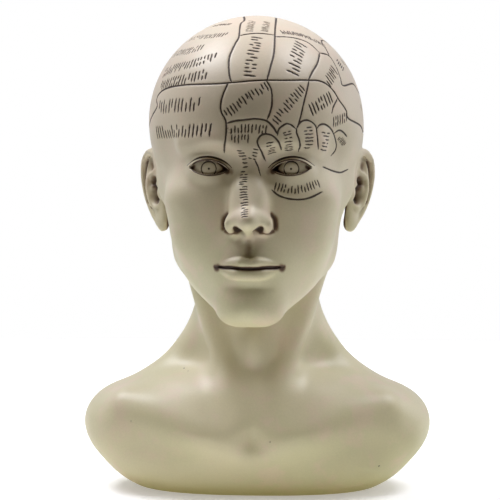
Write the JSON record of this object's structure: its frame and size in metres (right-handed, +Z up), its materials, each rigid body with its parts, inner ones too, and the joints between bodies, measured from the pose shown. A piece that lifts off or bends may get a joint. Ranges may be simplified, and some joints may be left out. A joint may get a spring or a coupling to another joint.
{
  "type": "phrenology head",
  "caption": "Bald head and armless shoulders cast in one piece, with a calm face and a flat underside; an ornament whose skull carries a map of regions.",
  "frame": {"origin": "middle of the flat underside, in the plane that splits the figure into left and right", "axes": "+Z up from the underside to the crown, -Y the way the face looks, +X towards the figure's left shoulder"},
  "size_m": [0.2218, 0.1909, 0.2999],
  "materials": {
    "ivory_resin": "Satin cream cast resin, faintly mottled, with a dark brown wash left in the engraved lines, nostrils, mouth line and lids."
  },
  "bodies": {
    "root": {"phrenology_bust": "ivory_resin"}
  },
  "joints": []
}
